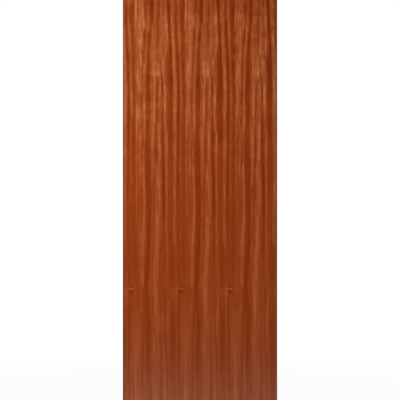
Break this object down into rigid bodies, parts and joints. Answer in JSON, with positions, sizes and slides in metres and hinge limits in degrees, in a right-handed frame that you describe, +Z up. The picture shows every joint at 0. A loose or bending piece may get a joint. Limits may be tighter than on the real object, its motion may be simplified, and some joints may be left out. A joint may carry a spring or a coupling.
{
  "type": "veneered flush door leaf",
  "caption": "Flush timber door leaf: slip-matched red-brown veneer on both faces, lipped long edges, a tongued softwood frame and a solid core. It hangs by its hinge edge.",
  "frame": {"origin": "On the outer face of the hinge edge, at the foot of the leaf and the middle of its thickness", "axes": "+Z up the leaf, +X across it from the hinge edge to the lock edge, +Y through it from the front face to the back face"},
  "size_m": [0.762, 0.044, 1.981],
  "materials": {
    "veneer": "satin",
    "lipping": "satin",
    "facing_board": "matte",
    "frame_timber": "matte",
    "core_board": "matte"
  },
  "bodies": {
    "root": {"back_facing": "facing_board", "back_veneer_lower_1": "veneer", "back_veneer_lower_2": "veneer", "back_veneer_lower_3": "veneer", "back_veneer_lower_4": "veneer", "back_veneer_upper_1": "veneer", "back_veneer_upper_2": "veneer", "back_veneer_upper_3": "veneer", "back_veneer_upper_4": "veneer", "bottom_rail": "frame_timber", "core": "core_board", "front_facing": "facing_board", "front_veneer_lower_1": "veneer", "front_veneer_lower_2": "veneer", "front_veneer_lower_3": "veneer", "front_veneer_lower_4": "veneer", "front_veneer_upper_1": "veneer", "front_veneer_upper_2": "veneer", "front_veneer_upper_3": "veneer", "front_veneer_upper_4": "veneer", "hinge_lipping": "lipping", "hinge_stile": "frame_timber", "lock_lipping": "lipping", "lock_stile": "frame_timber", "top_rail": "frame_timber"}
  },
  "joints": []
}
